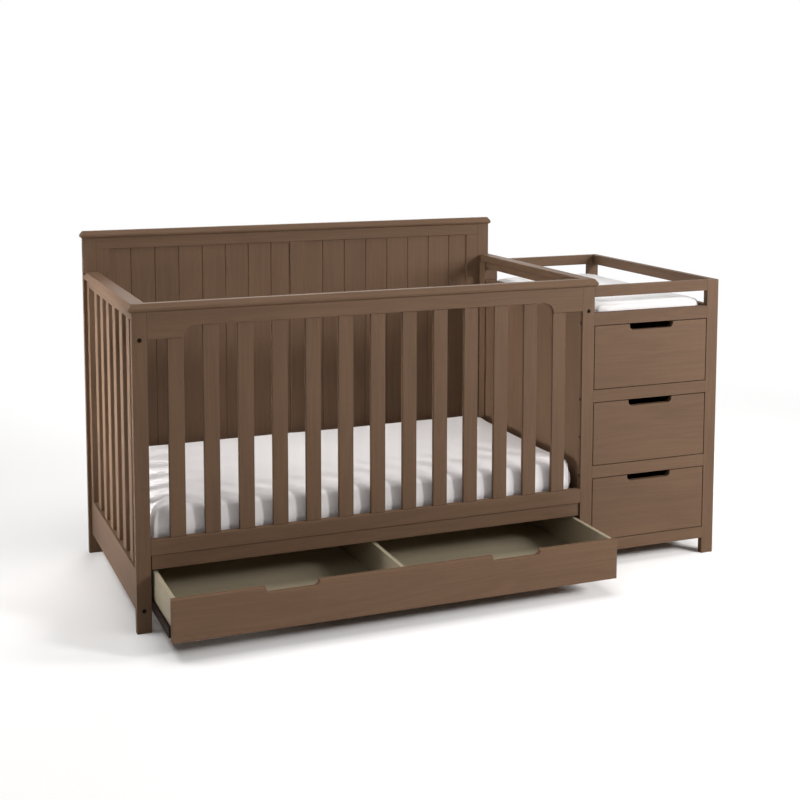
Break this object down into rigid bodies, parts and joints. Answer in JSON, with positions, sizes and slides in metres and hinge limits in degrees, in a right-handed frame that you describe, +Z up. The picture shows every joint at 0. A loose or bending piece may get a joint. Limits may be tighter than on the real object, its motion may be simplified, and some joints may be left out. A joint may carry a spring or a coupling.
{
  "type": "crib with attached changer",
  "caption": "Stained wood crib with planked headboard, slatted sides and a wide under-drawer, joined to a changing tower with a railed tray, pad and drawers.",
  "frame": {"origin": "middle of the footprint at floor level, with the wide drawer standing open as at rest", "axes": "+X along the crib towards the changing tower, +Y from the slatted front to the headboard, +Z up"},
  "size_m": [1.8834, 0.995, 1.044],
  "materials": {
    "stained_wood": "brown stain under satin lacquer, fine grain",
    "drawer_board": "cream foil on board",
    "plain_pine": "planed, unstained",
    "dark_steel": "dark brown coated steel, satin",
    "zinc_steel": "zinc plated",
    "mattress_cover": "smooth cotton sheet",
    "pad_cover": "soft quilted cotton"
  },
  "bodies": {
    "frame": {"headboard_left_post": "stained_wood", "headboard_right_post": "stained_wood", "headboard_cap": "stained_wood", "headboard_top_rail": "stained_wood", "headboard_bottom_rail": "stained_wood", "headboard_side_stiles": "stained_wood", "headboard_centre_stile": "stained_wood", "headboard_left_panel": "stained_wood", "headboard_right_panel": "stained_wood", "left_end_cap": "stained_wood", "left_end_top_rail": "stained_wood", "left_end_slats": "stained_wood", "left_end_bottom_rail": "stained_wood", "left_end_back_stile": "stained_wood", "front_left_post": "stained_wood", "front_corner_posts": "stained_wood", "front_cap": "stained_wood", "front_top_rail": "stained_wood", "front_slats": "stained_wood", "front_bottom_rail": "stained_wood", "front_apron": "stained_wood", "right_end_cap": "stained_wood", "right_end_top_rail": "stained_wood", "inner_rear_post": "stained_wood", "tower_front_left_post": "stained_wood", "tower_front_right_post": "stained_wood", "tower_back_left_post": "stained_wood", "tower_back_right_post": "stained_wood", "tower_crib_side_panel": "stained_wood", "tower_outer_side_panel": "stained_wood", "tower_back_panel": "stained_wood", "tower_back_rails": "stained_wood", "tower_bottom_board": "stained_wood", "changing_surface": "stained_wood", "gallery_front_rail": "stained_wood", "gallery_right_rail": "stained_wood", "gallery_back_rail": "stained_wood", "tower_front_rails": "stained_wood", "runner_blocks": "plain_pine", "runner_channels": "dark_steel", "mattress_support_frame": "plain_pine", "mattress_support_slats": "plain_pine", "support_brackets": "zinc_steel", "frame_bolts": "dark_steel", "cross_nuts": "zinc_steel"},
    "crib_drawer": {"crib_drawer_front": "stained_wood", "crib_drawer_box": "drawer_board", "crib_drawer_bottom": "drawer_board", "crib_drawer_bars": "dark_steel"},
    "top_drawer": {"top_drawer_front": "stained_wood", "top_drawer_box": "drawer_board", "top_drawer_bars": "dark_steel"},
    "middle_drawer": {"middle_drawer_front": "stained_wood", "middle_drawer_box": "drawer_board", "middle_drawer_bars": "dark_steel"},
    "bottom_drawer": {"bottom_drawer_front": "stained_wood", "bottom_drawer_box": "drawer_board", "bottom_drawer_bars": "dark_steel"},
    "mattress": {"mattress": "mattress_cover"},
    "changing_pad": {"changing_pad": "pad_cover"}
  },
  "joints": [
    {"name": "crib_drawer_slide", "type": "slide", "parent": "frame", "child": "crib_drawer", "axis": [0, -1, 0], "range_m": [-0.229, 0.2]},
    {"name": "top_drawer_slide", "type": "slide", "parent": "frame", "child": "top_drawer", "axis": [0, -1, 0], "range_m": [0, 0.42]},
    {"name": "middle_drawer_slide", "type": "slide", "parent": "frame", "child": "middle_drawer", "axis": [0, -1, 0], "range_m": [0, 0.42]},
    {"name": "bottom_drawer_slide", "type": "slide", "parent": "frame", "child": "bottom_drawer", "axis": [0, -1, 0], "range_m": [0, 0.42]},
    {"name": "mattress_lift", "type": "slide", "parent": "frame", "child": "mattress", "axis": [0, 0, 1], "range_m": [0, 0.75]},
    {"name": "changing_pad_lift", "type": "slide", "parent": "frame", "child": "changing_pad", "axis": [0, 0, 1], "range_m": [0, 0.15]}
  ]
}
